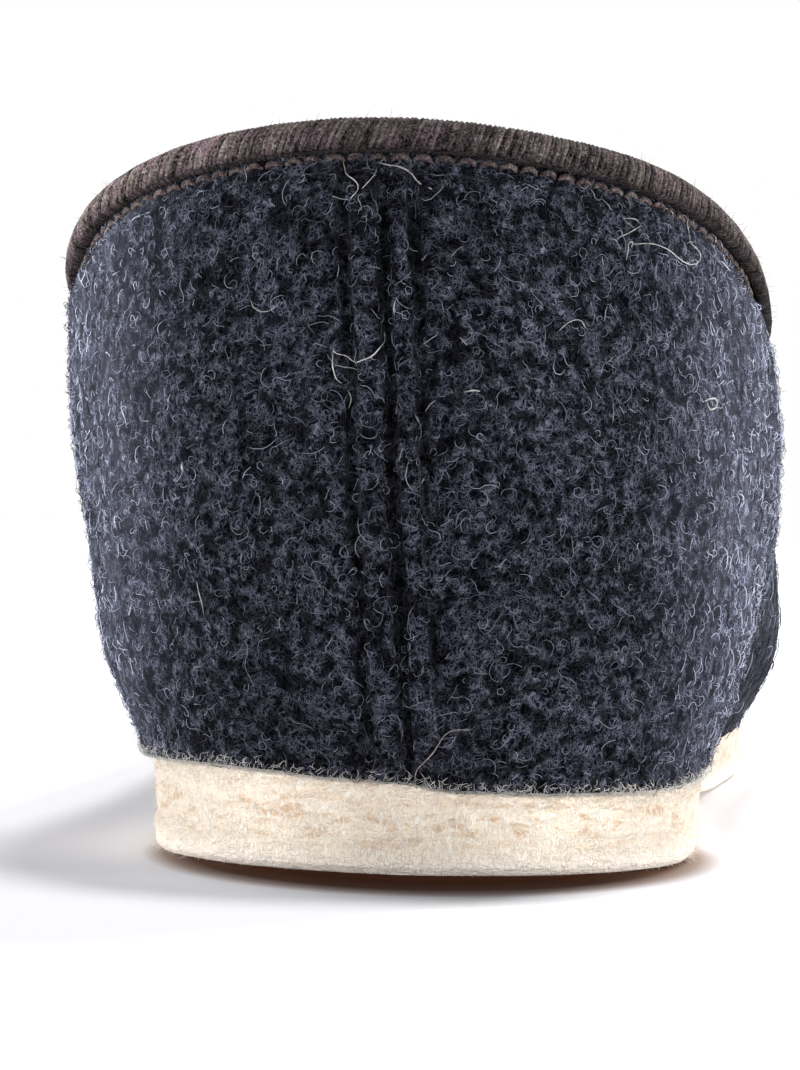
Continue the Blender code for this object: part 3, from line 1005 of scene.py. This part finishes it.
def makeCurls(name, kinds, steps, length, bend, rise, thickness, seed):
    # a hidden collection of curled fibres that start and end in the cloth
    rng = random.Random(seed)
    group = bpy.data.collections.new(name)
    shape = tubeShape(3, steps)
    for k in range(kinds):
        long = rng.uniform(*length) * mm
        high = rng.uniform(*rise) * mm
        thick = rng.uniform(*thickness) * mm
        heading = rng.uniform(0, 2 * math.pi)
        curl = rng.choice((-1, 1)) * bend * rng.uniform(0.5, 1.3)
        point = Vector((0, 0, 0))
        path, radii = [], []
        for j in range(steps):
            t = j / (steps - 1)
            lift = high * math.sin(math.pi * t) ** 0.7 if 0 < t < 1 else 0.0
            path.append(Vector((point.x, point.y, lift - 0.10 * mm + rng.uniform(-0.04, 0.04) * mm)))
            radii.append(thick * (0.55 if j in (0, steps - 1) else 1.0) * rng.uniform(0.85, 1.1))
            pace = long / (steps - 1)
            heading += curl * pace / mm
            curl += rng.gauss(0, 0.55) * bend
            curl = max(-1.7 * bend, min(1.7 * bend, curl))
            point = point + Vector((math.cos(heading), math.sin(heading), 0)) * pace
        middle = sum(path, Vector()) / steps
        addToGroup(group, shape, [p - Vector((middle.x, middle.y, 0)) for p in path], radii)
    bpy.data.meshes.remove(shape)
    return group


def scatter(name, surface, group, hairMap, density, seed, material):
    # geometry nodes strew the fibres over a surface, and the result is kept as a plain mesh
    tree = bpy.data.node_groups.new(name + "Strew", "GeometryNodeTree")
    tree.interface.new_socket("Geometry", in_out="INPUT", socket_type="NodeSocketGeometry")
    tree.interface.new_socket("Geometry", in_out="OUTPUT", socket_type="NodeSocketGeometry")
    start = addNode(tree, "NodeGroupInput")
    end = addNode(tree, "NodeGroupOutput")

    def chance(step, low, high):
        return addNode(tree, "FunctionNodeRandomValue", {"Seed": seed + step, 2: low, 3: high},
                       data_type="FLOAT").outputs[1]

    wanted = addNode(tree, "GeometryNodeInputNamedAttribute", {"Name": hairMap}, data_type="FLOAT")
    amount = times(tree, wanted.outputs["Attribute"], density)
    points = addNode(tree, "GeometryNodeDistributePointsOnFaces", {
        "Mesh": start.outputs[0], "Density": amount, "Seed": seed,
    })
    kinds = addNode(tree, "GeometryNodeCollectionInfo", {
        "Collection": group, "Separate Children": True, "Reset Children": True,
    })
    pick = addNode(tree, "FunctionNodeRandomValue", {"Seed": seed + 1, 4: 0, 5: len(group.objects) - 1},
                   data_type="INT")
    placed = addNode(tree, "GeometryNodeInstanceOnPoints", {
        "Points": points.outputs["Points"], "Instance": kinds.outputs[0], "Pick Instance": True,
        "Instance Index": pick.outputs[2], "Rotation": points.outputs["Rotation"],
        "Scale": chance(2, *fibreValues["sizes"]),
    })
    spin = addNode(tree, "ShaderNodeCombineXYZ", {"Z": chance(3, 0.0, 2 * math.pi)})
    turned = addNode(tree, "GeometryNodeRotateInstances", {
        "Instances": placed.outputs[0], "Rotation": spin.outputs[0],
    })
    named = addNode(tree, "GeometryNodeStoreNamedAttribute", {"Geometry": turned.outputs[0], "Name": "shade"},
                    data_type="FLOAT", domain="INSTANCE")
    tree.links.new(chance(4, *fibreValues["shades"]), named.inputs["Value"])
    real = addNode(tree, "GeometryNodeRealizeInstances", {"Geometry": named.outputs[0]})
    tree.links.new(real.outputs[0], end.inputs[0])
    holder = addObject(name + "Holder", surface.data)
    holder.modifiers.new("strew", "NODES").node_group = tree
    mesh = bakedMesh(holder)
    bpy.data.objects.remove(holder)
    bpy.data.node_groups.remove(tree)
    for vert in mesh.vertices:
        vert.co.z = max(vert.co.z, fibreValues["ground"])
    piece = placePiece(name, mesh, material)
    print(name, triangleCount(piece), "triangles")
    return piece


def dropGroup(group):
    for piece in list(group.objects):
        bpy.data.objects.remove(piece)
    bpy.data.collections.remove(group)


def makeFeltFibres(v):
    finish = fibreFinish("looseWool", v["colours"], flank=upperValues["flank"])
    for k, (hairMap, length, bend, rise, density) in enumerate(v["rearSets"]):
        curls = makeCurls("woolCurl", v["kinds"], v["steps"], length, bend, rise, v["thickness"], 11 + 20 * k)
        piece = scatter("heelFibres" + str(k + 1), upperFelt, curls, hairMap, density, 20 + 10 * k, finish)
        dropGroup(curls)
    longer = makeCurls("farCurl", v["farKinds"], v["farSteps"], v["farLength"], v["farBend"], v["farRise"],
                       v["farThickness"], 12)
    piece = scatter("upperFibres", upperFelt, longer, "farHair", v["farDensity"], 70, finish)
    dropGroup(longer)
    return finish


wool = makeFeltFibres(fibreValues)


# stitches, fuzz and stray hairs

stitchValues = {
    "pitch": 0.00235,
    "width": 0.0019,
    "drop": (-0.0014, -0.0021),  # from the ring's middle: top and foot of each loop
    "instep": (0.055, 0.092, 0.62),  # between these places along the foot the drop shrinks by this share
    "thickness": 0.00024,
    "steps": 9,
    # painted light: paler on the inner side
    "innerPaleness": 1.3,
    "dark": (0.018, 0.011, 0.013),
    "mid": (0.086, 0.056, 0.062),
    "olive": (0.082, 0.070, 0.060),
    "pale": (0.30, 0.26, 0.25),
}


def makeStitches(v):
    # a row of yarn loops on the felt just under the binding
    rng = random.Random(8)
    felt = surfaceFinder(upperFelt)
    bm = bmesh.new()
    shade = bm.verts.layers.float.new("shade")
    light = bm.verts.layers.float.new("light")
    steps = v["steps"]
    shape = tubeShape(6, steps)
    near, far, shrink = v["instep"]
    total = round(collar.length / v["pitch"])
    for k in range(total):
        for strand in (0, 1):
            middle = collar.length * (k + 0.04 * rng.uniform(-1, 1)) / total
            path, radii, facing = [], [], []
            for j in range(steps):
                t = j / (steps - 1)
                place = middle + (t - 0.5) * v["width"] * rng.uniform(0.95, 1.05)
                point, along, outward, upward = collar.at(place)
                arch = math.sin(math.pi * t) ** 0.8 if 0 < t < 1 else 0.0
                top, foot = (drop * (1 - shrink * ease(point.y, near, far)) for drop in v["drop"])
                height = foot + (top - foot) * arch * (0.85 if strand else 0.55)
                start = point + outward * 0.015 + upward * height
                hit, normal, _, _ = felt.ray_cast(start, -outward, 0.02)
                if hit is None:
                    continue
                normal = normal if normal.dot(outward) > 0 else -normal
                sink = -0.8 if j in (0, steps - 1) else 0.9
                path.append(hit + normal * v["thickness"] * sink)
                facing.append(normal)
                radii.append(v["thickness"] * rng.uniform(0.85, 1.1) * (0.6 if j in (0, steps - 1) else 1))
            if len(path) < steps:
                continue
            value = rng.random()
            for vert in bendTube(bm, shape, path, radii, facing):
                vert[shade] = value
                vert[light] = 1.0
    bpy.data.meshes.remove(shape)
    piece = placePiece("collarStitches", meshOf("collarStitches", bm), knitFinish(v, "stitchYarn"))
    return piece, felt


collarStitches, feltSurface = makeStitches(stitchValues)
print("collar stitches:", len(collarStitches.data.polygons), "faces")

fuzzValues = {
    "kinds": 16,
    "steps": 5,
    "length": (0.5, 1.3),      # millimetres
    "thickness": (0.016, 0.026),
    "root": 0.15 * mm,         # how deep a hair starts in the cloth
    "curls": (14, 4, (0.6, 1.4), 1.7, (0.25, 0.65), (0.019, 0.029)),  # as makeCurls counts them
    "collarDensity": 330000,
    "hemDensity": 6000000,
    "topDensity": 7000000,
    "rimDensity": 7000000,
    "hem": ((0.0, (0.46, 0.45, 0.43)), (0.5, (0.70, 0.68, 0.64)), (1.0, (0.95, 0.93, 0.88))),
    "heelDensity": 130000,
    "soleDensity": 330000,
    "soleCurlDensity": 420000,
    "brown": ((0.0, (0.030, 0.023, 0.022)), (0.5, (0.085, 0.068, 0.064)), (1.0, (0.26, 0.23, 0.21))),
    "cream": ((0.0, (0.62, 0.52, 0.42)), (0.5, (0.80, 0.72, 0.62)), (1.0, (0.93, 0.90, 0.84))),
}


def makeHairs(name, v, seed):
    # a hidden collection of short hairs that stand out of the cloth and lean over
    rng = random.Random(seed)
    group = bpy.data.collections.new(name)
    steps = v["steps"]
    shape = tubeShape(3, steps)
    for k in range(v["kinds"]):
        long, thick = rng.uniform(*v["length"]) * mm, rng.uniform(*v["thickness"]) * mm
        tilt, curl = rng.uniform(0.3, 1.2), rng.uniform(-1.0, 1.0)
        point, path, radii = Vector((0, 0, -v["root"])), [], []
        for j in range(steps):
            path.append(point.copy())
            radii.append(thick * (1 - 0.6 * j / (steps - 1)))
            lean = tilt + curl * j / steps
            sway = 0.5 * math.sin(j * 1.3 + k)
            point += Vector((math.sin(lean), math.sin(sway) * 0.5, math.cos(lean))) * long / (steps - 1)
        addToGroup(group, shape, path, radii)
    bpy.data.meshes.remove(shape)
    return group


def makeFuzz(v):
    hairs = makeHairs("shortHair", v, 31)
    fine = makeCurls("hemCurl", *v["curls"], 33)
    brown = fibreFinish("brownWool", v["brown"], (1.0, 0.92, 0.9))
    cream = fibreFinish("creamWool", v["cream"], (1.0, 0.97, 0.9))
    greyed = fibreFinish("greyedWool", v["hem"], (1.0, 0.97, 0.9))
    rows = (
        ("collarFuzz", collarBinding, hairs, "fuzz", v["collarDensity"], 110, brown, "binding_knit"),
        ("heelFuzz", upperFelt, hairs, "rearHair", v["heelDensity"], 120, wool, "upper_felt"),
        ("hemFuzz", upperFelt, fine, "hemHair", v["hemDensity"], 150, greyed, "sole_felt"),
        ("topFuzz", soleFelt, fine, "topHair", v["topDensity"], 160, cream, "sole_felt"),
        ("rimFuzz", soleFelt, hairs, "rimHair", v["rimDensity"], 170, cream, "sole_felt"),
        ("soleFuzz", soleFelt, hairs, "edgeHair", v["soleDensity"], 130, cream, "sole_felt"),
        ("soleCurls", soleFelt, fine, "edgeHair", v["soleCurlDensity"], 140, cream, "sole_felt"),
    )
    for name, surface, group, hairMap, density, seed, finish, slot in rows:
        piece = scatter(name, surface, group, hairMap, density, seed, finish)
    dropGroup(hairs)
    dropGroup(fine)


makeFuzz(fuzzValues)

strayValues = {
    "lift": 0.35,    # millimetres over the felt
    "finish": (0.46, 0.46, 0.46),
    "warmFinish": (0.36, 0.32, 0.30),
    # each: thickness in millimetres, warm or not, then points in the 800 x 1070 frame
    "hairs": (
        (0.085, 0, ((378, 162), (389, 166), (399, 168), (408, 174), (419, 182), (432, 189))),
        (0.060, 0, ((343, 161), (344, 169), (350, 176), (357, 183), (359, 189), (355, 196), (345, 199),
                    (332, 196))),
        (0.050, 0, ((377, 167), (371, 176), (362, 188))),
        (0.070, 0, ((635, 244), (648, 244), (661, 248), (668, 252), (675, 258), (682, 263), (691, 265),
                    (697, 261), (698, 256), (694, 249), (689, 244), (687, 237), (685, 227), (683, 217),
                    (680, 215))),
        (0.055, 0, ((627, 260), (626, 251), (627, 244), (631, 243), (632, 247))),
        (0.055, 0, ((624, 218), (633, 220), (640, 223))),
        (0.050, 0, ((664, 207), (669, 212), (673, 217))),
        (0.060, 0, ((711, 232), (713, 239), (714, 249))),
        (0.045, 0, ((618, 238), (628, 233), (642, 225))),
        (0.075, 0, ((333, 348), (336, 353), (344, 356), (354, 360), (363, 360), (372, 356), (379, 348),
                    (383, 340), (385, 332))),
        (0.060, 0, ((333, 350), (333, 364), (335, 373), (338, 380), (342, 383))),
        (0.050, 0, ((335, 365), (342, 368), (351, 369), (358, 371))),
        (0.055, 0, ((348, 390), (350, 398), (349, 408))),
        (0.065, 0, ((395, 300), (395, 308), (394, 315))),
        (0.090, 0, ((464, 392), (472, 391), (480, 391))),
        (0.045, 0, ((460, 337), (467, 345))),
        (0.110, 0, ((703, 402), (709, 399), (714, 403), (710, 409), (706, 407), (708, 402))),
        (0.100, 0, ((182, 462), (184, 467), (183, 472))),
        (0.050, 0, ((196, 582), (201, 592), (204, 604), (203, 614))),
        (0.050, 0, ((560, 330), (568, 322), (579, 321), (586, 328))),
        (0.045, 0, ((250, 300), (257, 309), (268, 312), (276, 306))),
        (0.060, 1, ((470, 730), (463, 729), (454, 729), (447, 733), (441, 743), (432, 753), (422, 764),
                    (418, 770), (416, 776), (417, 788))),
        (0.050, 1, ((419, 771), (424, 777), (432, 791))),
    ),
}


def cameraRay(px, py, v):
    # from the camera through a pixel of its frame
    turn = scene.camera.matrix_world
    middleX, middleY = v["frameMiddle"]
    aim = Vector((px - middleX, middleY - py, -v["focalPixels"])).normalized()
    return turn.translation, (turn.to_3x3() @ aim).normalized()


def strayFinish(name, colour):
    material, tree = newMaterial(name)
    mottle = cloudNoise(tree, millimetres(tree), 1.8, 2.0, 0.5, 6.0)
    dull = tuple(c * 0.55 for c in colour)
    tint = blendColour(tree, remap(tree, mottle, 0.35, 0.65), dull, colour)
    finishShader(tree, tint, {"Roughness": 0.55})
    return material


def smoothPath(points, count):
    # the points joined by a soft curve, resampled evenly
    curve = bpy.data.curves.new("path", "CURVE")
    curve.dimensions = "3D"
    spline = curve.splines.new("BEZIER")
    spline.bezier_points.add(len(points) - 1)
    for knot, point in zip(spline.bezier_points, points):
        knot.co = point
        knot.handle_left_type = knot.handle_right_type = "AUTO"
    spline.resolution_u = 6
    holder = addObject("path", curve)
    mesh = bakedMesh(holder)
    dense = [w.co.copy() for w in mesh.vertices]
    bpy.data.objects.remove(holder)
    bpy.data.curves.remove(curve)
    bpy.data.meshes.remove(mesh)
    return [dense[round(k * (len(dense) - 1) / (count - 1))] for k in range(count)]


def makeStrays(v):
    surfaces = (feltSurface, surfaceFinder(soleFelt))
    for warm, name, colour in ((0, "strayHairs", v["finish"]), (1, "strayWarmHairs", v["warmFinish"])):
        bm = bmesh.new()
        for thick, isWarm, pixels in v["hairs"]:
            if isWarm != warm:
                continue
            points = []
            for k, (px, py) in enumerate(pixels):
                origin, aim = cameraRay(px, py, cameraValues)
                hits = [tree.ray_cast(origin, aim, 1.0) for tree in surfaces]
                near = min((h for h in hits if h[0] is not None), key=lambda h: h[3])
                normal = near[1] if near[1].dot(aim) < 0 else -near[1]
                lift = -0.1 if k in (0, len(pixels) - 1) else v["lift"]
                points.append(near[0] + normal * lift * mm - aim * 0.15 * mm)
            count = max(7, 3 * len(points))
            path = smoothPath(points, count)
            shape = tubeShape(4, count)
            radii = [thick * mm * (0.6 + 0.4 * math.sin(math.pi * (k + 0.5) / count)) for k in range(count)]
            bendTube(bm, shape, path, radii)
            bpy.data.meshes.remove(shape)
        bmesh.ops.recalc_face_normals(bm, faces=bm.faces)
        piece = placePiece(name, meshOf(name, bm), strayFinish(name + "Finish", colour))


makeStrays(strayValues)
print("stray hairs placed")
